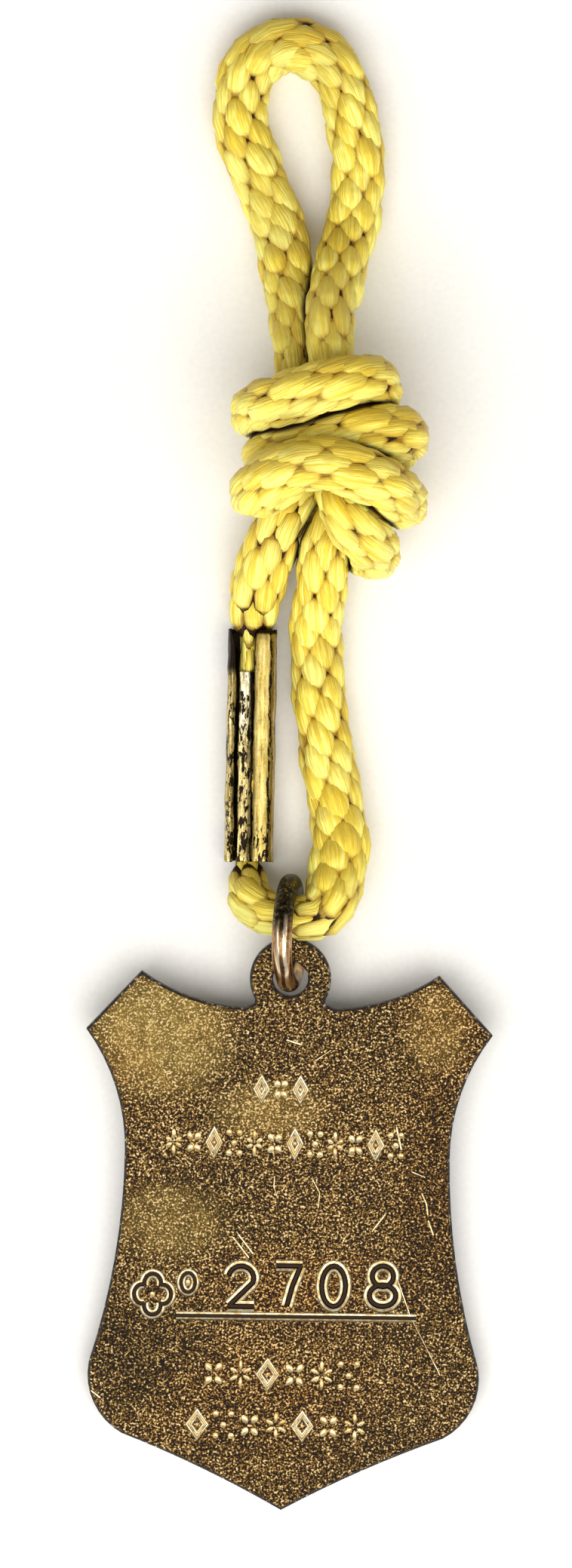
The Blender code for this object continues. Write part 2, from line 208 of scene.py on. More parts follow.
class Finish(Nodes):
    """A material, with the patterns that the badge's finishes share."""

    def __init__(self, name, **values):
        self.material = bpy.data.materials.new(name)
        self.material.use_nodes = True
        super().__init__(self.material.node_tree)
        self.give(**values)

    def give(self, **values):
        """Feeds the shader's own inputs."""
        shader = self.tree.nodes["Principled BSDF"]
        for name, value in values.items():
            self.feed(shader.inputs[SHADER_INPUTS[name]], value)

    def places(self):
        """Places on the piece, in millimetres."""
        metres = self.add("ShaderNodeTexCoord", output="Object")
        return self.add("ShaderNodeVectorMath", {"operation": "SCALE"}, {"Vector": metres, "Scale": 1 / MM})

    def kept(self, name):
        """A number that the mesh keeps for each of its corners."""
        return self.add("ShaderNodeAttribute", {"attribute_name": name}, output="Fac")

    def noise(self, where, per_mm, detail=3.0, roughness=0.5, stretch=(1.0, 1.0, 1.0), shift=0.0):
        moved = {"Vector": where, "Scale": stretch, "Location": (shift, shift, shift)}
        mapped = self.add("ShaderNodeMapping", values=moved)
        values = {"Vector": mapped, "Scale": per_mm, "Detail": detail, "Roughness": roughness}
        return self.add("ShaderNodeTexNoise", values=values)

    def ramp(self, reading, *stops):
        """A colour for each reading; each stop is a reading and its colour."""
        result = self.add("ShaderNodeValToRGB", values={"Fac": reading})
        elements = result.socket.node.color_ramp.elements
        while len(elements) < len(stops):
            elements.new(1.0)
        for element, (place, colour) in zip(elements, stops):
            element.position = place
            element.color = (*colour, 1.0)
        return result

    def mix(self, share, first, second, blend="MIX"):
        settings = {"data_type": "RGBA", "blend_type": blend}
        return self.add("ShaderNodeMix", settings, {"Factor": share, 6: first, 7: second}, output=2)

    def spot(self, where, middle, reach):
        """1 in the middle of an oval of the given half sizes, fading to 0 past its edge."""
        values = {"Vector": where, "Location": middle, "Scale": reach}
        moved = self.add("ShaderNodeMapping", {"vector_type": "TEXTURE"}, values)
        far = self.add("ShaderNodeVectorMath", {"operation": "LENGTH"}, {"Vector": moved}, output="Value")
        return 1.0 - far.between(0.4, 1.2)

    def bump(self, height, distance_mm, strength=1.0):
        values = {"Height": height, "Distance": distance_mm * MM, "Strength": strength}
        self.give(normal=self.add("ShaderNodeBump", values=values))


print("shader helpers ready")

# %% [markdown]
# ## Paper and light
#
# The paper is nearly white and takes a soft shadow. Most of the light in the photo comes from one
# large window, high up towards the foot of the picture: the shadow above the shield's lifted edge
# is only a few millimetres wide, and the paper inside the cord's loop is as bright as anywhere.
# The room is dimmer on the other side, and darkest straight overhead, where a hand and a phone keep
# the light away. A bright wire reflects that patch as a dark line along its middle, with a bright
# line at each side from two long narrow lamps.
#
# The shadows decide how the badge reads as lying on the paper, so real lamps and a shaded room are
# used here, and no plain even light.

# %% Lay the paper and hang the lights
PAPER_SIZE = 900.0
PAPER_MIDDLE = (0.0, 20.0, -0.02)  # a hair below the badge
ROOM_STRENGTH = 0.66
ROOM_NEAR, ROOM_FAR = 1.0, 0.50  # the room's brightness towards the picture's foot and its top
OVERHEAD = 0.3  # what the dark patch straight overhead leaves of it
DARK_PATCH = (0.80, 0.97)  # how steeply a ray goes up where that patch begins and is full
LAMPS_AIM = (0.0, 15.0, 0.0)
LAMPS = (
    # name, place and size in millimetres, power in watts, colour
    ("foot_window", (-20.0, -330.0, 790.0), (900.0, 620.0), 7.9, (1.0, 0.985, 0.965)),
    ("left_strip", (-300.0, -110.0, 310.0), (420.0, 60.0), 0.25, (1.0, 0.99, 0.97)),
    ("right_strip", (300.0, -110.0, 310.0), (420.0, 60.0), 0.25, (1.0, 0.99, 0.97)),
)


def lay_paper():
    form = bmesh.new()
    bmesh.ops.create_grid(form, x_segments=2, y_segments=2, size=PAPER_SIZE / 2 * MM)
    bmesh.ops.translate(form, vec=Vector(PAPER_MIDDLE) * MM, verts=form.verts)
    finish = Finish("pale_paper", roughness=0.9)
    grain = finish.noise(finish.places(), 2.5)
    finish.give(colour=finish.ramp(grain, (0.3, (0.87, 0.855, 0.825)), (0.7, (0.91, 0.895, 0.865))))
    paper = placed("paper", mesh_of(form, "paper"))
    paper.data.materials.append(finish.material)


def hang_lamp(name, place, size, power, colour):
    """A flat panel of light that faces the badge."""
    panel = bpy.data.lights.new(name, "AREA")
    panel.shape = "RECTANGLE"
    panel.size, panel.size_y = size[0] * MM, size[1] * MM
    panel.energy = power
    panel.color = colour
    lamp = placed(name, panel)
    lamp.location = Vector(place) * MM
    lamp.rotation_euler = (Vector(LAMPS_AIM) - Vector(place)).to_track_quat("-Z", "Y").to_euler()


def light_room():
    """Light from all round, dimmer towards the picture's top and straight overhead."""
    world = bpy.data.worlds.new("room")
    bpy.context.scene.world = world
    world.use_nodes = True
    room = Nodes(world.node_tree)
    _, along, up = room.split(room.add("ShaderNodeTexCoord", output="Generated"))
    ranges = ((along, -1.0, 1.0, ROOM_NEAR, ROOM_FAR), (up, *DARK_PATCH, 1.0, OVERHEAD))
    shares = [room.add("ShaderNodeMapRange", values=dict(enumerate(values))) for values in ranges]
    background = room.tree.nodes["Background"]
    room.feed(background.inputs["Color"], shares[0] * shares[1])
    room.feed(background.inputs["Strength"], ROOM_STRENGTH)


lay_paper()
light_room()
for lamp_row in LAMPS:
    hang_lamp(*lamp_row)
bpy.context.scene.view_settings.view_transform = "Standard"

# %% [markdown]
# ## The cord's path
#
# The whole cord shows in the photo, so its length is the photo's own, with the hidden turns inside
# the knot added. The route was chosen one point at a time, by following the strands over and under
# each other. It is written across and along from the lug's hole, with the height above the paper,
# and the last number is the share of its thickness that the cord keeps where the knot or the tube
# squeezes it. A knot drawn one point at a time always has strands that cut into each other a little,
# so a few hundred small pushes part them until they only touch.

# %% Settle the cord's path
CORD_DIAMETER = 4.1
ROUTE = (
    # in the crimp, and out of its upper end
    (-3.3, 17.9, 1.5, 0.42), (-3.3, 21.8, 1.5, 0.42), (-3.3, 25.95, 1.5, 0.42), (-3.3, 27.0, 1.9, 0.8),
    (-3.15, 27.9, 2.3, 0.94), (-2.6, 30.1, 3.4, 1.02), (-1.8, 32.6, 4.6, 1.0),
    # up through the knot's core, over the top and back round it
    (-0.6, 35.1, 5.1, 0.86), (0.4, 36.9, 4.9, 0.76), (1.8, 38.9, 4.7, 0.74), (3.6, 40.9, 4.9, 0.74),
    (5.1, 42.1, 6.0, 0.8), (5.7, 43.1, 8.5, 0.9), (4.9, 44.3, 11.3, 0.95), (2.8, 43.8, 12.3, 0.97),
    (0.3, 42.9, 12.3, 0.97), (-1.6, 41.5, 11.2, 0.95), (-2.6, 39.9, 7.9, 0.94), (-2.6, 40.4, 3.8, 0.86),
    (-0.7, 40.1, 1.8, 0.82), (2.4, 38.5, 1.7, 0.82), (5.3, 36.7, 1.9, 0.82), (7.1, 35.6, 4.0, 0.88),
    (7.6, 35.2, 7.5, 0.94), (6.6, 35.9, 11.0, 0.95), (4.6, 37.3, 13.0, 0.97), (2.4, 38.2, 13.6, 0.97),
    (0.1, 38.0, 13.3, 0.97), (-2.2, 37.1, 12.2, 0.95), (-3.6, 35.7, 9.6, 0.94), (-3.0, 35.5, 7.4, 0.84),
    (-1.2, 37.2, 7.0, 0.76), (-0.2, 38.9, 7.6, 0.74), (0.0, 41.7, 8.0, 0.76), (-0.1, 44.5, 8.0, 0.78),
    (-0.2, 46.4, 7.0, 0.84), (-0.4, 48.4, 5.5, 0.92),
    # the loop for the button
    (-1.1, 51.2, 3.4, 1.0), (-1.6, 54.5, 2.3, 1.0), (-2.35, 56.7, 2.05, 1.0), (-3.3, 58.9, 2.05, 1.04),
    (-4.35, 61.2, 2.05, 1.02), (-4.95, 63.4, 2.05, 1.0), (-4.75, 65.7, 2.05, 1.0), (-3.7, 68.0, 2.05, 1.02),
    (-1.4, 69.1, 2.05, 1.04), (1.2, 68.2, 2.05, 1.0), (2.7, 66.0, 2.05, 0.98), (3.35, 63.5, 2.05, 0.98),
    (3.9, 60.8, 2.05, 0.97), (3.85, 58.0, 2.05, 0.96), (3.4, 55.4, 2.6, 0.96), (2.85, 53.2, 4.0, 0.97),
    (2.4, 50.9, 6.0, 0.98), (1.8, 48.4, 8.0, 0.92),
    # the second strand, down through the knot and round it beside the first
    (1.8, 45.6, 8.3, 0.82), (2.4, 42.8, 8.0, 0.76), (2.8, 40.1, 7.8, 0.74), (2.7, 37.8, 8.6, 0.8),
    (3.3, 35.3, 11.0, 0.93), (4.4, 33.2, 11.6, 0.97), (5.6, 32.1, 9.0, 0.93), (5.6, 31.2, 5.5, 0.9),
    (4.1, 31.6, 2.3, 0.84), (1.9, 33.3, 1.8, 0.82), (-0.6, 35.1, 1.8, 0.82), (-2.2, 37.1, 2.7, 0.78),
    (-2.5, 38.9, 6.0, 0.76), (-1.7, 39.9, 9.3, 0.8), (0.7, 39.7, 10.7, 0.84), (3.6, 40.2, 11.2, 0.92),
    (6.3, 41.0, 10.9, 0.96), (7.6, 40.6, 8.0, 0.95), (7.1, 39.2, 5.2, 0.86), (5.3, 37.3, 4.8, 0.76),
    (3.5, 35.2, 4.9, 0.78), (2.3, 32.9, 5.1, 0.88),
    # the right leg, through the ring and up into the crimp
    (2.0, 30.7, 4.5, 0.95), (1.7, 28.2, 3.3, 0.95), (1.45, 25.8, 2.4, 0.95), (1.55, 23.3, 2.05, 0.96),
    (1.8, 20.2, 2.05, 0.98), (2.35, 16.6, 2.05, 1.0), (3.1, 13.2, 2.05, 1.0), (3.5, 9.9, 2.5, 1.02),
    (3.3, 7.4, 3.5, 1.02), (2.7, 5.3, 4.6, 1.0), (1.7, 4.35, 5.1, 0.88), (0.4, 4.4, 5.1, 0.67),
    (-0.8, 4.5, 5.05, 0.68), (-2.1, 4.8, 4.4, 0.84), (-3.2, 6.0, 3.0, 0.84), (-3.3, 8.1, 1.5, 0.42),
    (-3.3, 12.0, 1.5, 0.42), (-3.3, 16.6, 1.5, 0.42),
)
KNOT_BETWEEN = (27.5, 49.0)  # along, the stretch where the strands settle against each other
PATH_CUTS = 12  # readings between two points of the route
PATH_STEP = 0.6  # spacing of the fine path
NEIGHBOURS = 12  # steps along the cord that never count as touching
SETTLE_ROUNDS = 400
PART = 0.9  # share of an overlap that one round takes out
EASE = 0.05  # share of a bend that one round straightens
RETURN = np.array([0.04, 0.04, 0.016])  # share of the way back to the drawn route
SMOOTHING = (0.25, 0.5, 0.25)


def smooth_path(route):
    """A curve through the route's points, read at even steps."""
    rows = np.array(route)
    rows = np.vstack([2 * rows[0] - rows[1], rows, 2 * rows[-1] - rows[-2]])
    share = np.linspace(0.0, 1.0, PATH_CUTS, endpoint=False)[:, None]
    pieces = []
    for before, start, end, after in zip(rows, rows[1:], rows[2:], rows[3:]):
        pieces.append(start + (end - before) * share / 2
                      + (2 * before - 5 * start + 4 * end - after) * share ** 2 / 2
                      + (3 * start - before - 3 * end + after) * share ** 3 / 2)
    fine = np.vstack(pieces + [rows[-2][None]])
    run = np.concatenate([[0.0], np.cumsum(np.linalg.norm(np.diff(fine[:, :3], axis=0), axis=1))])
    even = np.linspace(0.0, run[-1], round(run[-1] / PATH_STEP) + 1)
    return np.stack([np.interp(even, run, column) for column in fine.T], axis=1)


def settled(path):
    """The path with the knot's strands pushed apart until they only touch, nothing below the paper."""
    place, radius = path[:, :3].copy(), path[:, 3] * CORD_DIAMETER / 2
    drawn = place.copy()
    loose = np.flatnonzero((drawn[:, 1] > KNOT_BETWEEN[0]) & (drawn[:, 1] < KNOT_BETWEEN[1]))
    one, other = np.triu_indices(len(loose), 1)
    one, other = loose[one], loose[other]
    apart = other - one >= NEIGHBOURS
    one, other = one[apart], other[apart]
    touch = radius[one] + radius[other]
    for _ in range(SETTLE_ROUNDS):
        gap = place[other] - place[one]
        length = np.linalg.norm(gap, axis=1)
        near = length < touch
        push = ((touch - length) / length / 2)[near][:, None] * gap[near]
        shift, count = np.zeros_like(place), np.zeros(len(place))
        np.add.at(shift, one[near], -push)
        np.add.at(shift, other[near], push)
        np.add.at(count, one[near], 1)
        np.add.at(count, other[near], 1)
        place[loose] += PART * (shift / np.maximum(count, 1)[:, None])[loose]
        ease = (place[loose - 2] + place[loose + 2]) / 2 - place[loose]
        place[loose] += EASE * ease
        place[loose] += RETURN * (drawn - place)[loose]
        place[:, 2] = np.maximum(place[:, 2], radius)
    return np.column_stack([place, radius])


def smoothed(path):
    """The path without the last small kinks, its two ends kept."""
    inner = sum(weight * path[step:len(path) - 2 + step] for step, weight in enumerate(SMOOTHING))
    return np.vstack([path[:1], inner, path[-1:]])


path = smoothed(smoothed(settled(smooth_path(ROUTE))))
centreline = path[:, :3] + np.array([0.0, HOLE.y, 0.0])
steps = np.linalg.norm(np.diff(centreline, axis=0), axis=1)
run_along = np.concatenate([[0.0], np.cumsum(steps)])
CORD_LENGTH = run_along[-1]
print("cord:", round(CORD_LENGTH, 1), "mm along its middle,", len(path), "points")

# %% [markdown]
# ## The braid
#
# The cord is a solid braid of silky filament yarn. Its face is a lattice of plump stitches, each
# lying nearly along the cord with both its ends tucked under its neighbours: fifteen columns round
# the cord, and each column starts a third of a stitch further on than the one before it. Carving
# such a face into a tube would lose the overlaps, so every stitch is its own small spindle. One
# spindle is made, an Array modifier repeats it, and the copies are then laid on the cord by their
# distance along it, their turn round it and their height over its middle.

# %% Carry a frame along the cord


def carried_frame(points):
    """The cord's direction at each point, and two directions across it that never twist."""
    along = np.gradient(points, axis=0)
    along /= np.linalg.norm(along, axis=1)[:, None]
    up = np.zeros_like(points)
    up[0] = (0.0, 0.0, 1.0)
    for index in range(len(points)):
        last = up[max(index - 1, 0)]
        level = last - along[index] * (last @ along[index])
        up[index] = level / np.linalg.norm(level)
    return along, up, np.cross(along, up)


cord_along, cord_up, cord_side = carried_frame(centreline)


def on_cord(run, turn, height):
    """Places in millimetres, from a distance along the cord, a turn round it and a height over its middle."""
    def read(rows):
        return np.stack([np.interp(run, run_along, column) for column in rows.T], axis=-1)
    past = (run - np.clip(run, 0.0, CORD_LENGTH))[..., None]
    outward = read(cord_up) * np.cos(turn)[..., None] + read(cord_side) * np.sin(turn)[..., None]
    return read(centreline) + past * read(cord_along) + outward * height[..., None]


print("frame carried along", len(cord_up), "points")

# %% Make one stitch and repeat it
STITCH_COLUMNS = 15
STITCH_EVERY = 4.9  # along the cord, from a stitch to the next in its column
STITCH_LENGTH = 5.8
STITCH_WIDTH = 1.95
STITCH_THICK = 1.9
STITCH_TOP = 2.14  # the outermost height over the cord's middle
STITCH_TUCK = 1.2  # how much deeper a stitch's two ends lie
STITCH_LEAN = math.radians(12.5)  # how far each end turns against its column
CORE_RADIUS = 1.35
SPINDLE_SIDES = 10
SPINDLE_RINGS = 8
FACE_UP = 0.35  # how far a spindle's corners are gathered on its outer half
UNEVEN = (0.13, 0.035, 0.07)  # the stitches' own spread: along, round the cord and in girth
SWELL = 0.025  # the cord is not quite even: it swells by about this share
LUMPS_EVERY = 3.0  # and at about this spacing
OVER_PAPER = 0.02  # how far the lowest yarn stays over the paper
SEED = 7  # of the stitches' spread and of the crimp's dents


def spindle():
    """One stitch: a ball with its poles at the two ends, and a UV map that runs along it."""
    form = bmesh.new()
    form.loops.layers.uv.new("strand")
    seam_inward = Matrix.Rotation(-math.pi / 2, 4, "Z")
    bmesh.ops.create_uvsphere(form, u_segments=SPINDLE_SIDES, v_segments=SPINDLE_RINGS, radius=1.0,
                              matrix=seam_inward, calc_uvs=True)
    return placed("stitch", mesh_of(form, "stitch"))


def evaluated_mesh(item):
    """The mesh of an object with its modifiers or its bevel worked in; the object itself goes."""
    mesh = bpy.data.meshes.new_from_object(item.evaluated_get(bpy.context.evaluated_depsgraph_get()))
    bpy.data.objects.remove(item)
    return mesh


def repeated(item, count):
    """The mesh of an object repeated in place."""
    array = item.modifiers.new("repeat", "ARRAY")
    array.count = count
    array.use_relative_offset = False
    return evaluated_mesh(item)


def stitch_lattice():
    """The distance along the cord and the turn round it of every stitch's middle."""
    rows = int(CORD_LENGTH / STITCH_EVERY) + 2
    row, column = np.meshgrid(np.arange(-1, rows), np.arange(STITCH_COLUMNS), indexing="ij")
    run = (STITCH_EVERY * (row + column / 3 % 1.0)).ravel()
    turn = (math.tau * column / STITCH_COLUMNS).ravel()
    kept = (run > -STITCH_EVERY / 4) & (run < CORD_LENGTH + STITCH_EVERY / 4)
    return run[kept], turn[kept]


def name_values(mesh, name, values):
    """Keeps a number for each corner of the mesh, for the finish to read."""
    mesh.attributes.new(name, "FLOAT", "POINT").data.foreach_set("value", values.astype(np.float32))


AT_ONCE = 4000  # corners that are measured together
OWN_STRETCH = 9.0  # stands for the distance to the stretch of cord that a corner is part of


def pinched_at(places, runs):
    """How near each place is to another pass of the cord: 1 where the two touch, 0 a millimetre off."""
    result = np.zeros(len(places))
    for start in range(0, len(places), AT_ONCE):
        part = slice(start, start + AT_ONCE)
        gap = np.linalg.norm(places[part, None] - centreline, axis=2) - path[:, 3]
        own = np.abs(runs[part, None] - run_along) < NEIGHBOURS * PATH_STEP
        result[part] = np.clip(1.0 - np.where(own, OWN_STRETCH, gap).min(axis=1), 0.0, 1.2)
    return result


NOTCH = (-3.68, 24.4)  # across and along, the middle of the notch at the crimp's upper end
NOTCH_HALF = (0.62, 2.4)
NOTCH_RISE = 0.9  # how far the cord swells up through it


def in_notch(place):
    """1 in the middle of the crimp's notch, fading to 0 at its sides."""
    across = (place[..., 0] - NOTCH[0]) / NOTCH_HALF[0]
    along = (place[..., 1] - HOLE.y - NOTCH[1]) / NOTCH_HALF[1]
    return np.clip(1.0 - across ** 2 - np.abs(along) ** 3, 0.0, 1.0)


def far_side_of(place):
    """1 at each stitch's corner farthest from the window at the picture's foot, 0 at its nearest."""
    along = place[..., 1]
    return (along - along.min(axis=1, keepdims=True)) / np.ptp(along, axis=1, keepdims=True)


def braid_mesh():
    run, turn = stitch_lattice()
    mesh = repeated(spindle(), len(run))
    corners = np.zeros(len(mesh.vertices) * 3)
    mesh.vertices.foreach_get("co", corners)
    across, out, along = np.moveaxis(corners.reshape(len(run), -1, 3), -1, 0)
    around, girth = np.arctan2(out, across), np.hypot(across, out)
    around = around + FACE_UP * np.cos(around)
    across, out = girth * np.cos(around), girth * np.sin(around)
    rng = np.random.default_rng(SEED)
    slip, twist, fat = rng.normal(size=(3, len(run), 1)) * np.array(UNEVEN)[:, None, None]
    run = run[:, None] + slip
    turn = turn[:, None] + twist
    fat = 1.0 + fat
    lumps = rng.normal(size=int(CORD_LENGTH / LUMPS_EVERY) + 2)
    swell = 1.0 + SWELL * np.interp(run, np.arange(len(lumps)) * LUMPS_EVERY, lumps)
    squeeze = swell * np.interp(run, run_along, path[:, 3]) / (CORD_DIAMETER / 2)
    reach = STITCH_TOP - STITCH_THICK / 2
    height = reach - STITCH_TUCK * np.abs(along) ** 3 + out * STITCH_THICK / 2 * fat
    sideways = across * STITCH_WIDTH / 2 * fat
    place = on_cord(run + along * STITCH_LENGTH / 2, turn - STITCH_LEAN * along + sideways / reach,
                    height * squeeze)
    place[..., 2] = np.maximum(place[..., 2] + in_notch(place) * NOTCH_RISE, OVER_PAPER)
    mesh.vertices.foreach_set("co", (place * MM).ravel())
    name_values(mesh, "tone", np.repeat(rng.random(len(run)), across.shape[1]))
    name_values(mesh, "sunk", STITCH_TOP - height.ravel())
    name_values(mesh, "pinched", pinched_at(place.reshape(-1, 3), np.repeat(run.ravel(), across.shape[1])))
    name_values(mesh, "far_side", far_side_of(place).ravel())
    mesh.update()
    return mesh, len(run)


def drawn_line(name, points, radii, closed=False, **settings):
    """A curve object through the points, with a radius at each and the given settings."""
    curve = bpy.data.curves.new(name, "CURVE")
    for setting, value in settings.items():
        setattr(curve, setting, value)
    spline = curve.splines.new("POLY")
    spline.points.add(len(points) - 1)
    spline.use_cyclic_u = closed
    for point, place, radius in zip(spline.points, points, radii):
        point.co = (*place, 1.0)
        point.radius = radius
    return placed(name, curve)


def core_mesh():
    """The cord's heart, which shows in the slits between stitches; its near-black finish is painted shade
    there.
    """
    radii = path[:, 3] / (CORD_DIAMETER / 2)
    return evaluated_mesh(drawn_line("core", centreline * MM, radii, dimensions="3D", use_fill_caps=True,
                                     bevel_depth=CORE_RADIUS * MM, bevel_resolution=2))


stitches, stitch_count = braid_mesh()
core = core_mesh()
print("stitches:", stitch_count, "with", len(stitches.polygons), "faces, core:", len(core.polygons))

# %% [markdown]
# ## Silky yarn
#
# Filament yarn has a soft shine and hair-fine lines that run with each stitch, so the finish reads
# the stitch's own UV map. Stitches differ a little in tone, because each strand took the dye in its
# own way. Shade is painted into the colour: painted shade, with some dirt, where the stitches dive
# under each other and where two passes of the cord touch, and on each stitch painted shade on its
# side away from the window at the picture's foot and painted light on its side towards it.

# %% Finish the yarn and put the cord in place
LOOP_FOOT = (0.6, 55.0, 5.0)  # where hands have soiled the loop
LOOP_SOILED = (4.2, 5.0, 9.0)  # half sizes of that patch


def silky_yarn():
    finish = Finish("silky_yarn", specular=0.2)
    strand = finish.add("ShaderNodeUVMap", {"uv_map": "strand"})
    tone, sunk, pinched, far_side = map(finish.kept, ("tone", "sunk", "pinched", "far_side"))
    shift = finish.add("ShaderNodeCombineXYZ", values={"X": tone * 3.7, "Y": tone * 1.9})
    own = finish.add("ShaderNodeVectorMath", {"operation": "ADD"}, {0: strand, 1: shift})
    lines = finish.noise(own, 1.0, roughness=0.75, stretch=(20.0, 1.5, 1.0)).between(0.34, 0.66)
    where = finish.places()
    patchy = finish.noise(where, 0.8, detail=2.0)
    soiled = finish.spot(where, LOOP_FOOT, LOOP_SOILED) * 0.6
    stain = finish.noise(where, 0.16, detail=4.0).between(0.50, 0.72) * 0.35 + soiled * patchy
    # Painted light and shade: each stitch is brighter yellow on its side towards the window at the picture's
    # foot, and darker on its far side.
    depth = lines * 0.50 + tone * 0.26 + (1.0 - far_side) * 0.40
    yellow = finish.ramp(depth, (0.15, (0.58, 0.36, 0.022)), (0.5, (0.94, 0.72, 0.07)),
                         (0.76, (1.0, 0.94, 0.24)))
    olive = finish.mix(stain, yellow, (0.40, 0.36, 0.10))
    # Painted shade: the side of each stitch away from the window is dulled towards dark olive.
    painted_far_shade = (far_side + (patchy - 0.5) * 0.5).between(0.46, 0.72) * 0.52
    far_shaded_yarn = finish.mix(painted_far_shade, olive, (0.54, 0.37, 0.045))
    # Painted shade, with some dirt, where the stitches dive under each other: ochre, then brown, then near
    # black in the deepest tucks.
    ochre = finish.mix(sunk.between(0.12, 0.32) * 0.55, far_shaded_yarn, (0.52, 0.30, 0.02))
    brown = finish.mix(sunk.between(0.27, 0.40) * 0.7, ochre, (0.24, 0.11, 0.008))
    deepest_shade = sunk.between(0.33, 0.46) * patchy.between(0.44, 0.58) + sunk.between(0.44, 0.60)
    dark = finish.mix(deepest_shade.between(0.0, 1.0), brown, (0.03, 0.010, 0.002))
    # Painted shade, with some dirt, where two passes of the cord touch.
    finish.give(colour=finish.mix(pinched.between(0.50, 0.88), dark, (0.03, 0.011, 0.002)))
    finish.give(roughness=0.32 + lines * 0.2)
    finish.bump(lines, 0.07)
    return finish.material


def painted_shade_heart():
    # Near black: painted shade in the slits between stitches.
    finish = Finish("painted_shade_heart", roughness=0.8, specular=0.1)
    fibres = finish.noise(finish.places(), 6.0)
    finish.give(colour=finish.ramp(fibres, (0.3, (0.010, 0.004, 0.002)), (0.7, (0.06, 0.022, 0.006))))
    return finish.material


def join_meshes(name, *parts):
    """One mesh from several; each part keeps its place and gets the material slot of its turn."""
    form = bmesh.new()
    for slot, part in enumerate(parts):
        before = len(form.faces)
        form.from_mesh(part)
        form.faces.ensure_lookup_table()
        for face in form.faces[before:]:
            face.material_index = slot
    return mesh_of(form, name)


def add_piece(name, mesh, slot, replaced, *materials):
    """Puts a finished mesh into the scene as a piece of the badge."""
    for material in materials:
        mesh.materials.append(material)
    piece = placed(name, mesh)
    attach(piece, "root")
    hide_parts(replaced)
    print(name, "faces:", len(mesh.polygons))
    return piece


braid = join_meshes("neck_cord_braid", stitches, core)
braid.shade_smooth()
cord_piece = add_piece("neck_cord_braid", braid, "yellow_braid", "neck_cord", silky_yarn(), painted_shade_heart())

# %% [markdown]
# ## The shield's metal
#
# The shield was struck from sheet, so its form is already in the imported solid: its flat faces are
# joined again, and their border is lowered to a narrow chamfer, as years of pockets wear an edge.
# Then the marks are stamped. All of that happens on the flat plate, in millimetres, and the
# finished mesh is laid down where the solid lies.

# %% Copy the solid and chamfer its rim
SHIELD_EDGE = 0.17  # width of the chamfer
EDGE_DROP = 0.8  # its depth, as a share of its width
SHIELD_CUTS = (2.37, 2.41)  # spacing of the cuts that let the wide faces stay well shaped
FACE, RIM, MARK = range(3)  # the shield's three finishes
MERGED, TOUCH = 0.002, 0.0005  # corners this near each other are one, in a solid and in a cut


def merged_copy(node, place):
    """A solid as a bmesh in its own frame, with doubles merged and flat faces joined again."""
    form = bmesh.new()
    form.from_mesh(frame["nodes"][node].data)
    bmesh.ops.transform(form, matrix=place.inverted(), verts=form.verts)
    bmesh.ops.remove_doubles(form, verts=form.verts, dist=MERGED)
    bmesh.ops.dissolve_limit(form, angle_limit=math.radians(0.5), verts=form.verts, edges=form.edges)
    bmesh.ops.recalc_face_normals(form, faces=form.faces)
    return form


def cross_cut(form, axis, every):
    """Cuts the form across an axis at even steps, so that its flat faces can bend."""
    low = min(vertex.co[axis] for vertex in form.verts)
    high = max(vertex.co[axis] for vertex in form.verts)
    across = Vector((axis == 0, axis == 1, axis == 2))
    for cut in np.arange(low + every, high - every / 4, every):
        everything = form.verts[:] + form.edges[:] + form.faces[:]
        bmesh.ops.bisect_plane(form, geom=everything, dist=TOUCH, plane_co=across * cut, plane_no=across)


def blank_shield():
    form = merged_copy("badge_shield", ON_PLATE)
    for face in form.faces:
        face.material_index = RIM
    flats = [face for face in form.faces if abs(face.normal.z) > 0.9]
    border = bmesh.ops.inset_region(form, faces=flats, thickness=SHIELD_EDGE, use_boundary=True,
                                    use_even_offset=True)["faces"]
    for face in flats:
        face.material_index = FACE
    inner = {vertex for face in flats for vertex in face.verts}
    for vertex in {vertex for face in border for vertex in face.verts} - inner:
        vertex.co.z += SHIELD_EDGE * (EDGE_DROP if vertex.co.z < PLATE_THICKNESS / 2 else -EDGE_DROP)
    for axis, every in enumerate(SHIELD_CUTS):
        cross_cut(form, axis, every)
    print("blank shield:", len(form.faces), "faces")
    return placed("shield", mesh_of(form, "shield"))


blank = blank_shield()

# %% [markdown]
# ## The stamped marks
#
# A die's stroke leaves a groove with a dirty lip, a worn shoulder and a steep heart. The strokes are
# swept along flat paths, and dots and petals are small balls pressed into the face. Two strokes
# that cross, such as the two rings of an 8, belong to different sets, because a set is taken out of
# the plate in one cut, and a cut is only clean where its own shapes keep apart.

# %% Draw the punches
STROKE = ((0.46, -0.004), (0.37, -0.014), (0.20, -0.10), (0.11, -0.27), (-0.11, -0.27), (-0.20, -0.10),
          (-0.37, -0.014), (-0.46, -0.004), (-0.46, 0.30), (0.46, 0.30))
DOTS, STROKES, CROSSING, SCRATCHED = SETS = range(4)  # the sets of punches, cut one after the other
SET_DEEPER = 0.004  # how much deeper each set goes than the one before it
DOT_MIDDLE, DOT_DEEP = 0.02, 0.15  # a dot's height over the face, and its half height
DIGIT_HALF = (0.98, 1.50)  # half width and height of a digit's middle line
NUMBER = (("2", (-3.24, -22.83)), ("7", (0.31, -22.76)), ("0", (3.60, -22.71)), ("8", (7.23, -22.64)))
FOUR_BOWS, BOW_OUT, BOW_HALF = (-9.77, -23.53), (0.75, 0.80), (0.62, 0.72)
SMALL_RING, SMALL_RING_HALF = (-7.16, -22.62), (0.52, 0.72)
PELLET = 0.24  # radius
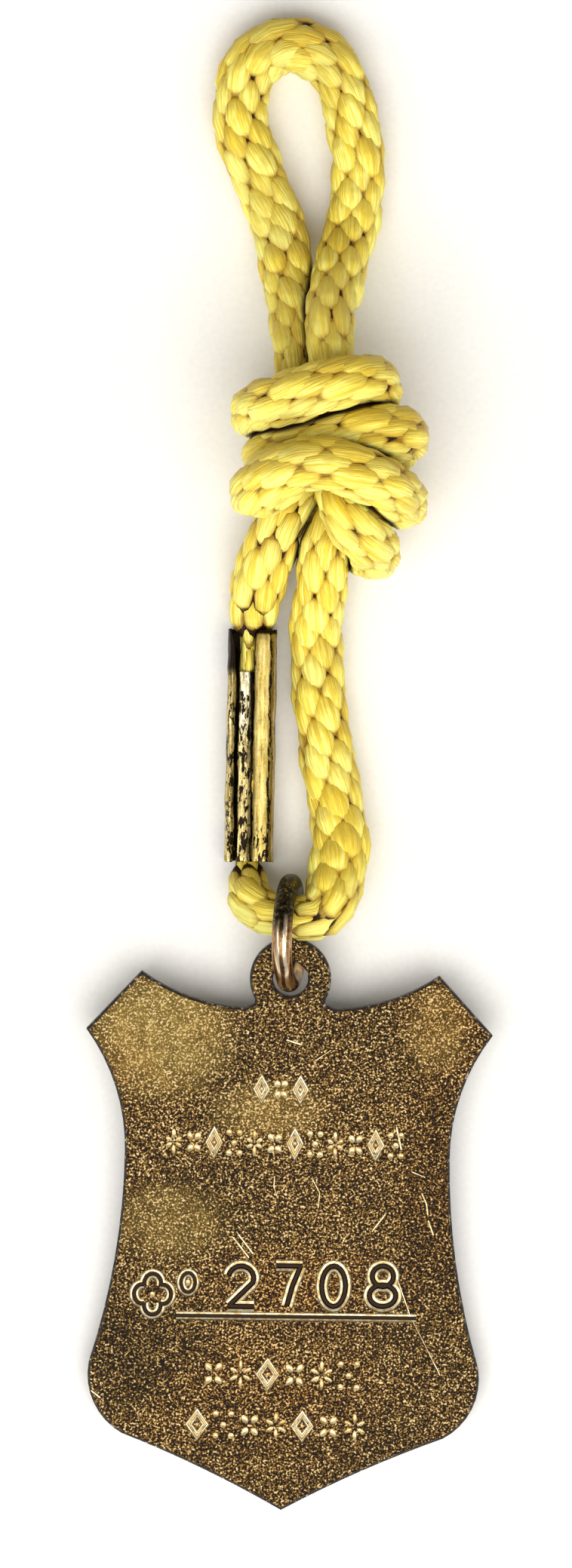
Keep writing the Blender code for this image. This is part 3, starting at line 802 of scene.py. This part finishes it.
# Scratches long enough to catch the light: the weight of the stroke, then the lines.
SCRATCHES = {
    0.16: (((-3.9, -19.2), (-2.7, -20.7)), ((-3.5, -19.0), (-2.4, -20.4)),
           ((9.99, -15.7), (10.35, -16.5), (10.46, -17.3)), ((10.5, -17.7), (10.9, -18.8)),
           ((6.36, -18.6), (7.33, -17.3)), ((8.03, -10.8), (8.42, -12.5)),
           ((-0.2, -4.5), (0.95, -4.85)), ((-14.3, -30.7), (-13.5, -31.3))),
    0.10: (((7.9, -21.0), (9.3, -24.8), (11.6, -29.2)), ((4.16, -19.5), (4.55, -18.8)),
           ((1.8, -6.1), (3.1, -5.2)), ((-0.9, -14.6), (-0.95, -15.4), (-0.67, -16.2)),
           ((1.9, -14.8), (2.45, -15.8), (2.35, -16.9)), ((9.2, -14.1), (10.2, -14.5))),
}


def towards(turn, across=1.0, along=1.0):
    """The step that a turn in degrees makes round an oval."""
    return Vector((across * math.cos(math.radians(turn)), along * math.sin(math.radians(turn))))


def arc(middle, radii, start, end):
    """Points along an oval, one each 15 degrees."""
    turns = np.radians(np.linspace(start, end, max(int(abs(end - start) / 15), 2) + 1))
    return [(middle[0] + radii[0] * math.cos(turn), middle[1] + radii[1] * math.sin(turn)) for turn in turns]


def ring(middle, radii):
    return arc(middle, radii, 0, 345)


# Each digit in a box from -1 to 1, as one or two paths; a path that closes on itself says so.
DIGITS = {
    "0": ((ring((0.0, 0.0), (0.90, 1.0)), True),),
    "2": ((arc((0.0, 0.40), (0.95, 0.60), 170, -20) + [(-0.85, -0.95)], False),
          ([(-1.0, -1.0), (1.0, -1.0)], False)),
    "7": (([(-1.0, 1.0), (1.0, 1.0)], False), ([(0.85, 1.0), (0.25, 0.0), (-0.15, -1.0)], False)),
    "8": ((ring((0.0, 0.49), (0.80, 0.51)), True), (ring((0.0, -0.47), (1.0, 0.53)), True)),
}


def swept(points, closed, weight):
    """The groove's section swept along a flat path."""
    section = drawn_line("section", [(*corner, 0.0) for corner in STROKE], [1.0] * len(STROKE), closed=True)
    line = drawn_line("strokes", points, [weight] * len(points), closed, dimensions="2D", fill_mode="NONE",
                      bevel_mode="OBJECT", bevel_object=section, use_fill_caps=True)
    mesh = evaluated_mesh(line)
    bpy.data.objects.remove(section)
    return mesh


class Punches:
    """Everything that is stamped into the plate, gathered set by set before the cuts."""

    def __init__(self):
        self.forms = [bmesh.new() for _ in SETS]

    def dot(self, place, size, turn=0.0):
        matrix = (Matrix.Translation((*place, DOT_MIDDLE)) @ Matrix.Rotation(math.radians(turn), 4, "Z")
                  @ Matrix.Diagonal((*size, DOT_DEEP, 1.0)))
        bmesh.ops.create_icosphere(self.forms[DOTS], subdivisions=2, radius=1.0, matrix=matrix)

    def stroke(self, points, middle=(0.0, 0.0), size=(1.0, 1.0), closed=False, weight=1.0, into=STROKES):
        line = [(middle[0] + x * size[0], middle[1] + y * size[1], 0.0) for x, y in points]
        self.forms[into].from_mesh(swept(line, closed, weight))

    def digit(self, sign, middle):
        for into, (points, closed) in zip((STROKES, CROSSING), DIGITS[sign]):
            self.stroke(points, middle, DIGIT_HALF, closed, into=into)

    def lozenge(self, middle, size):
        self.stroke([(0, 1), (1, 0), (0, -1), (-1, 0)], middle, (size[0] - 0.2, size[1] - 0.2), True, 0.5)
        self.dot(middle, (0.14, 0.14))

    def flower(self, middle, size):
        for turn in (45, 135, 225, 315):
            reach = towards(turn, *size) * 0.62
            tilt = math.degrees(math.atan2(reach.y, reach.x))
            self.dot(Vector(middle) + reach, (reach.length * 0.62, 0.24), tilt)

    def star(self, middle, size):
        for turn in (30, 90, 150, 210, 270, 330):
            reach = size[1] if turn in (90, 270) else size[0] * 1.1
            self.dot(Vector(middle) + towards(turn) * reach * 0.60, (reach * 0.40, 0.15), turn)

    def pellets(self, middle, size):
        for across, along in ((0, 0), (1, 1), (-1, 1), (1, -1), (-1, -1)):
            step = Vector((across * (size[0] - PELLET), along * (size[1] - PELLET)))
            self.dot(Vector(middle) + step, (PELLET, PELLET))

    def row(self, middle, width, height, order):
        """Ornaments in a row, spread over its width."""
        kinds = {"l": self.lozenge, "f": self.flower, "s": self.star, "p": self.pellets}
        half = (min(width / len(order) * 0.42, height / 2), height / 2)
        for place, kind in enumerate(order):
            across = middle[0] + ((place + 0.5) / len(order) - 0.5) * width
            kinds[kind]((across, middle[1]), half)

    def tools(self):
        for number, form in enumerate(self.forms):
            bmesh.ops.remove_doubles(form, verts=form.verts, dist=TOUCH)
            bmesh.ops.recalc_face_normals(form, faces=form.faces)
            for face in form.faces:
                face.material_index = MARK
            height = PLATE_THICKNESS - SET_DEEPER * number
            bmesh.ops.translate(form, vec=(0.0, 0.0, height), verts=form.verts)
        return [placed("punches", mesh_of(form, "punches")) for form in self.forms]


def draw_marks():
    marks = Punches()
    marks.row((-0.55, -8.17), 4.3, 1.8, "lfl")
    marks.row((-0.20, -12.19), 17.9, 2.0, "sflpsflpsflp")
    for sign, middle in NUMBER:
        marks.digit(sign, middle)
    for turn in (0, 90, 180, 270):
        bows = arc(Vector(FOUR_BOWS) + towards(turn, *BOW_OUT), BOW_HALF, turn - 105, turn + 105)
        marks.stroke(bows, weight=0.8, into=CROSSING if turn % 180 else STROKES)
    marks.dot(FOUR_BOWS, (0.2, 0.2))
    marks.stroke(ring(SMALL_RING, SMALL_RING_HALF), closed=True, weight=0.72)
    marks.dot(SMALL_RING, (0.18, 0.24))
    marks.stroke([(-8.0, -25.08), (9.75, -24.98)], weight=0.7)
    marks.row((-0.16, -29.34), 12.0, 2.2, "fslfsp")
    marks.row((-0.48, -33.14), 13.6, 2.1, "lpfslfs")
    for weight, lines in SCRATCHES.items():
        for line in lines:
            marks.stroke(line, weight=weight, into=SCRATCHED)
    return marks.tools()


punches = draw_marks()
print("punches:", [len(tool.data.polygons) for tool in punches], "faces in each set")

# %% [markdown]
# ## The cut
#
# One Boolean for each set takes the punches out of the plate. The edges between two finishes stay
# sharp, so the flat face is shaded flat right up to each mark.

# %% Stamp the marks and lay the shield down


def cut_out(body, tools):
    """The body's mesh with the tools' shapes taken out of it, one after the other."""
    for tool in tools:
        cut = body.modifiers.new("cut", "BOOLEAN")
        cut.operation = "DIFFERENCE"
        cut.solver = "EXACT"
        cut.object = tool
    mesh = evaluated_mesh(body)
    for tool in tools:
        bpy.data.objects.remove(tool)
    return mesh


def soft_where_smooth(mesh, angle):
    """Smooth shading, with a crease where two faces turn by more than the angle or differ in finish."""
    form = bmesh.new()
    form.from_mesh(mesh)
    for face in form.faces:
        face.smooth = True
    for edge in form.edges:
        finishes = {face.material_index for face in edge.link_faces}
        edge.smooth = len(finishes) == 1 and edge.calc_face_angle(math.pi) < math.radians(angle)
    open_edges = sum(not edge.is_manifold for edge in form.edges)
    print(mesh.name, len(form.faces), "faces,", open_edges, "open edges")
    form.to_mesh(mesh)
    form.free()


stamped = cut_out(blank, punches)
stamped.transform(ON_PLATE)
soft_where_smooth(stamped, 32)

# %% [markdown]
# ## Aged bronze
#
# Old bronze is three things at once: pale rubbed metal, a brown skin, and near-black dirt in every
# pit. Here the three share the face as fine speckles, with larger pale and dark patches where the
# badge shows them. The rim is nearly black, partly dark patina and partly painted shade of the
# shield's side wall, and the stamped grooves shine at their worn shoulders and are dark at the lip
# and at the bottom. A finish that is worked out from places and depths follows the marks by itself,
# so the marks need no painting of their own.

# %% Finish the shield
def plate_places(finish):
    """Places on the flat plate, in millimetres from the hole and up from the underside."""
    hole = -(ON_PLATE.inverted() @ Vector((0.0, 0.0, 0.0)))
    values = {"Vector": finish.places(), "Rotation": (-lean_of_plate(), 0.0, 0.0), "Location": tuple(-hole)}
    return finish.add("ShaderNodeMapping", values=values)


# Ovals on the plate: their middle, their half width and height, and their weight.
PALE_PATCHES = ((-9.5, -4.2, 5.5, 5.0, 1.0), (10.9, -3.6, 2.5, 3.5, 0.5), (-1.4, -9.7, 4.5, 2.2, 0.6),
                (-8.7, -18.1, 4.5, 3.0, 0.5))
RUSTY_PATCHES = ((2.0, -22.8, 10.0, 3.4, 0.7), (-1.0, -31.5, 9.0, 5.0, 0.6), (12.5, -4.5, 4.0, 3.5, 0.5),
                 (10.5, -14.0, 3.0, 8.0, 0.5), (-12.0, -7.0, 2.5, 3.5, 0.4))
DARK_PATCHES = ((2.0, -34.0, 14.0, 7.0, 0.3), (11.0, -17.0, 4.0, 9.0, 0.8), (-11.0, -28.0, 4.5, 5.0, 0.7))
THROUGH = 40.0  # every patch goes right through the plate


def patches(finish, where, ovals):
    total = 0.0
    for across, along, wide, high, weight in ovals:
        total = finish.spot(where, (across, along, 0.0), (wide, high, THROUGH)) * weight + total
    return total


def aged_bronze():
    finish = Finish("aged_bronze", roughness=0.42, metallic=0.85)
    where = plate_places(finish)
    grain = finish.noise(where, 6.5, detail=1.5, roughness=0.7)
    cloud = finish.noise(where, 0.9, roughness=0.6)
    broad = finish.noise(where, 0.14, roughness=0.6, shift=3.0)
    level = (grain - 0.5) * 3.0 + cloud * 0.30 + broad * 0.25 + 0.225
    pale = patches(finish, where, PALE_PATCHES)
    level = level + pale * 0.14 - patches(finish, where, DARK_PATCHES) * 0.10
    metal = finish.ramp(level, (0.20, (0.003, 0.0015, 0.0005)), (0.46, (0.024, 0.011, 0.002)),
                        (0.64, (0.115, 0.062, 0.013)), (0.84, (0.25, 0.158, 0.042)),
                        (1.0, (0.60, 0.49, 0.28)))
    gold = finish.mix(pale * cloud * 0.7, metal, (0.26, 0.18, 0.042))
    rust = patches(finish, where, RUSTY_PATCHES) * 0.6 + (broad - 0.40) * 1.4
    finish.give(colour=finish.mix(rust, gold, (0.98, 0.78, 0.55), "MULTIPLY"))
    finish.give(roughness=0.34 + grain * 0.3)
    finish.bump(grain * 0.7 + cloud * 0.3, 0.05, strength=0.7)
    return finish.material


# Its near-black colour is partly dark patina and partly painted shade of the shield's side wall.
def dark_rim():
    finish = Finish("dark_rim", roughness=0.6)
    where = plate_places(finish)
    grain = finish.noise(where, 3.0, roughness=0.7)
    finish.give(colour=finish.ramp(grain, (0.48, (0.006, 0.004, 0.002)), (0.60, (0.05, 0.028, 0.012)),
                                   (0.66, (0.70, 0.56, 0.36))))
    finish.give(metallic=grain.between(0.60, 0.66))
    finish.bump(grain, 0.05, strength=0.6)
    return finish.material


def stamped_bronze():
    finish = Finish("stamped_bronze", roughness=0.36, metallic=0.85)
    where = plate_places(finish)
    grain = finish.noise(where, 3.0, detail=2.0, roughness=0.6)
    depth = PLATE_THICKNESS - finish.split(where)[2]
    sunk = (depth + (grain - 0.5) * 0.10).between(0.09, 0.17)
    lip = 1.0 - depth.between(0.017, 0.026)
    bright = finish.ramp(grain, (0.38, (0.62, 0.42, 0.16)), (0.60, (1.0, 0.88, 0.56)))
    finish.give(colour=finish.mix(sunk + lip * 0.9, bright, (0.012, 0.005, 0.002)))
    return finish.material


shield_finishes = (aged_bronze(), dark_rim(), stamped_bronze())
add_piece("badge_shield_struck", stamped, "aged_bronze", "badge_shield", *shield_finishes)

# %% [markdown]
# ## The jump ring
#
# The ring is a bit of round wire bent to a circle: one circle is drawn as the wire's section and
# spun round the ring's own middle. Its joint is closed and lies underneath, out of sight. Years of
# pulling have left it a little uneven. Where it rubs in the lug it is bright copper, with two painted
# highlight lines along the wire and a painted dark reflection between them. The end under the cord
# is dark and rougher, partly its own dark skin and partly painted shade.

# %% Bend the ring
RING_MIDDLE = (-0.14, 10.205, 4.362)
RING_REACH = 3.65  # from the ring's middle to the middle of the wire
RING_WIRE = 1.5
RING_LEAN = math.radians(8.3)
RING_BENT, RING_UNEVEN = 0.05, 0.004  # how far it leaves its plane, and how much its reach varies


def bent_ring():
    form = bmesh.new()
    start = Matrix.Translation((0.0, RING_REACH, 0.0))
    bmesh.ops.create_circle(form, cap_ends=False, segments=24, radius=RING_WIRE / 2, matrix=start)
    bmesh.ops.spin(form, geom=form.verts[:] + form.edges[:], cent=(0.0, 0.0, 0.0), axis=(1.0, 0.0, 0.0),
                   angle=math.tau, steps=96, use_merge=True)
    for vertex in form.verts:
        turn = math.atan2(vertex.co.z, vertex.co.y)
        vertex.co.x += RING_BENT * math.sin(2 * turn + 0.6)
        vertex.co *= 1.0 - RING_UNEVEN * (1.0 + math.sin(5 * turn + 1.0))
    bmesh.ops.recalc_face_normals(form, faces=form.faces)
    place = Matrix.Translation(RING_MIDDLE) @ Matrix.Rotation(-RING_LEAN, 4, "Y")
    bmesh.ops.transform(form, matrix=Matrix.Scale(MM, 4) @ place, verts=form.verts)
    return mesh_of(form, "ring")


def copper_bronze():
    finish = Finish("copper_bronze", roughness=0.3, metallic=1.0)
    where = finish.places()
    grain = finish.noise(where, 3.5, roughness=0.7)
    skin = finish.noise(where, 0.7, roughness=0.6)
    across, along, up = finish.split(where)
    # Bright rubbed copper near the lug; the part away from it is dark and rougher, partly its own skin and
    # partly painted shade.
    rubbed_and_lit = 1.0 - (along + (skin - 0.5) * 4.0).between(RING_MIDDLE[1] - 0.8, RING_MIDDLE[1] + 1.4)
    side = (across - RING_MIDDLE[0]) * math.cos(RING_LEAN) + (up - RING_MIDDLE[2]) * math.sin(RING_LEAN)
    off = finish.maths("ABSOLUTE", side + (skin - 0.5) * 0.25)
    # Painted highlights: two bright lines along the wire, one at each side of its middle.
    painted_highlight = off.between(0.12, 0.22) * (1.0 - off.between(0.34, 0.46))
    dark = finish.ramp(grain, (0.40, (0.010, 0.008, 0.004)), (0.55, (0.055, 0.042, 0.018)),
                       (0.70, (0.26, 0.20, 0.09)))
    copper = finish.ramp(skin * 0.6 + grain * 0.4, (0.38, (0.16, 0.060, 0.02)), (0.50, (0.45, 0.24, 0.10)),
                         (0.62, (0.75, 0.50, 0.27)))
    # Painted reflection: a dark line along the middle of the wire, where the dark patch overhead shows in it.
    dark_middle_reflection = finish.mix((1.0 - off.between(0.08, 0.20)) * 0.8, copper, (0.035, 0.018, 0.008))
    finish.give(colour=finish.mix(rubbed_and_lit, dark, finish.mix(painted_highlight * 0.7, dark_middle_reflection, (1.0, 0.86, 0.62))))
    finish.give(roughness=0.42 - rubbed_and_lit * 0.24)
    finish.bump(grain, 0.012, strength=0.6)
    return finish.material


bent = bent_ring()
bent.shade_smooth()
add_piece("jump_ring_bent", bent, "copper_bronze", "jump_ring", copper_bronze())

# %% [markdown]
# ## The crimp
#
# The tube was folded from thin brass sheet and pressed shut with pliers. Its solid gives the folds,
# and fine cross cuts let its walls wander and dent a little. At the upper end the narrow fold is
# drawn out to a spike. The finish is read across the tube, because wear follows the folds: a smooth
# golden band on the wide one, a pale pitted strip between the two, and black grime along each line.
# The spike's top and the top edge of the wide fold are painted near black as shade.

# %% Press the crimp
CRIMP_ACROSS = -3.26
CRIMP_LOW = HOLE.y + 8.5  # where its lower end is
CRIMP_LENGTH = 17.2
CRIMP_HALF = 1.8  # half of its width
CRIMP_PLACE = Matrix.Scale(MM, 4) @ Matrix.Translation((CRIMP_ACROSS, CRIMP_LOW, 0.0))
CRIMP_CUTS = (0.2, 0.4)  # across and along
CRIMP_EDGE = 0.07  # how far the sheet's edges are rounded
SPIKE_FROM = 14.2  # along the tube, where the narrow fold starts to narrow
SPIKE_SHARE = 0.6  # how much of its width the narrow fold loses there
LIP, LIP_DROP = 0.5, 0.25  # length of the bent lip at the upper end, and how far it goes down
FOLDS = ((-1.49, 0.31), (0.99, 0.81))  # the middle and half width of the two folds
FOLD_DROP = 0.26  # how much lower a fold's sides are than its crown
FOLD_SPREAD = 1.2  # the share of its half width to which a fold is rounded
WANDER = ((0.55, 0.10), (2.2, 0.03))  # how often the walls wander in a millimetre, and how far


def pressed_crimp():
    noise.seed_set(SEED)
    form = merged_copy("cord_crimp", CRIMP_PLACE)
    sharp = [edge for edge in form.edges if edge.calc_face_angle(0.0) > math.radians(50)]
    bmesh.ops.bevel(form, geom=sharp, offset=CRIMP_EDGE, segments=2, profile=0.5, affect="EDGES", material=-1,
                    clamp_overlap=True)
    for axis, every in enumerate(CRIMP_CUTS):
        cross_cut(form, axis, every)
    for vertex in form.verts:
        upper = max(vertex.co.y - SPIKE_FROM, 0.0) / (CRIMP_LENGTH - SPIKE_FROM)
        if vertex.co.x < -1.0:
            vertex.co.x = -CRIMP_HALF + (vertex.co.x + CRIMP_HALF) * (1.0 - SPIKE_SHARE * upper)
        elif vertex.co.z > 1.5:
            vertex.co.z -= LIP_DROP * max(vertex.co.y - CRIMP_LENGTH + LIP, 0.0) / LIP
        for middle, half in FOLDS:
            if vertex.co.z > 2.9 and abs(vertex.co.x - middle) < half * FOLD_SPREAD:
                vertex.co.z -= FOLD_DROP * ((vertex.co.x - middle) / half) ** 2
        wander = sum((noise.noise_vector(vertex.co * often) * far for often, far in WANDER), Vector())
        vertex.co += Vector((wander.x, wander.y, min(wander.z, 0.0)))
        vertex.co.z = max(vertex.co.z, OVER_PAPER / 2)
    bmesh.ops.transform(form, matrix=CRIMP_PLACE, verts=form.verts)
    return mesh_of(form, "crimp")


def band(reading, low, high, soft=0.08):
    """1 between low and high, fading to 0 outside them."""
    return reading.between(low - soft, low + soft) - reading.between(high - soft, high + soft)


def worn_brass():
    finish = Finish("worn_brass", roughness=0.36, metallic=0.9)
    where = finish.places()
    grain = finish.noise(where, 5.0, roughness=0.75)
    streak = finish.noise(where, 2.6, roughness=0.7, stretch=(1.6, 0.14, 1.0))
    blots = finish.noise(where, 2.2, roughness=0.7, stretch=(1.7, 0.5, 1.0), shift=5.0)
    wander = finish.noise(where, 0.8, roughness=0.6, stretch=(1.0, 0.7, 1.0))
    side, along, _ = finish.split(where)
    across = side - CRIMP_ACROSS + (wander - 0.5) * 0.45
    down = CRIMP_LOW + CRIMP_LENGTH - along
    level = streak * 0.7 + grain * 0.3
    gold = finish.ramp(level, (0.36, (0.36, 0.23, 0.045)), (0.48, (0.64, 0.47, 0.12)),
                       (0.62, (0.88, 0.72, 0.26)))
    silver = finish.ramp(level, (0.40, (0.24, 0.19, 0.09)), (0.49, (0.60, 0.52, 0.28)),
                         (0.60, (0.97, 0.93, 0.72)))
    olive = finish.ramp(level, (0.38, (0.12, 0.085, 0.026)), (0.50, (0.47, 0.36, 0.13)),
                        (0.64, (0.82, 0.70, 0.32)))
    strip = band(across, -0.92, 0.12) * (1.0 - down.between(6.0, 10.0) * 0.65)
    lower = band(across, -2.2, 0.14) * down.between(6.0, 10.0) * 0.8
    sides = across.between(1.15, 1.45) + (1.0 - across.between(-1.25, -0.95)) + lower
    metal = finish.mix(sides * 0.9, finish.mix(strip, gold, silver), olive)
    folds = band(across, -1.14, -0.90, 0.05) + band(across, 0.02, 0.18, 0.05)
    folds = folds + band(across, -0.10, 0.22, 0.05) * (1.0 - down.between(6.0, 8.0))
    edge_line = band(across, 1.28, 1.45, 0.05) * blots.between(0.38, 0.47)
    # Painted shade: the top of the narrow fold's spike is near black.
    spike = (1.0 - across.between(-1.2, -0.9)) * (1.0 - down.between(2.6, 4.0))
    worked = band(across, -1.8, 0.15) * down.between(4.0, 6.0) * 0.07 + down.between(13.5, 16.0) * 0.06
    pits = (blots + worked).between(0.58, 0.63)
    lobe_clean = band(across, 0.25, 1.25) * (1.0 - down.between(13.5, 15.5))
    # Grime along the folds, the edge line and the pits, together with the painted shade of the spike and the
    # top edge.
    grime_and_shade = folds + edge_line + spike * 0.9 + pits * (1.0 - lobe_clean * 0.85)
    metal = finish.mix((blots - 0.5) * 0.9, metal, (1.0, 0.97, 0.82))
    metal = finish.mix(across.between(1.20, 1.50) * 0.55, metal, (0.20, 0.13, 0.04))
    # Painted shade along the very top edge of the wide fold.
    top_edge_shade = (1.0 - down.between(0.15, 0.5)) * across.between(0.0, 0.2)
    finish.give(colour=finish.mix((grime_and_shade + top_edge_shade).between(0.1, 0.9), metal, (0.016, 0.009, 0.005)))
    finish.give(roughness=0.28 + grain * 0.25)
    finish.bump(level - grime_and_shade * 0.25, 0.06, strength=0.7)
    return finish.material


pressed = pressed_crimp()
soft_where_smooth(pressed, 40)
add_piece("cord_crimp_pressed", pressed, "worn_brass", "cord_crimp", worn_brass())
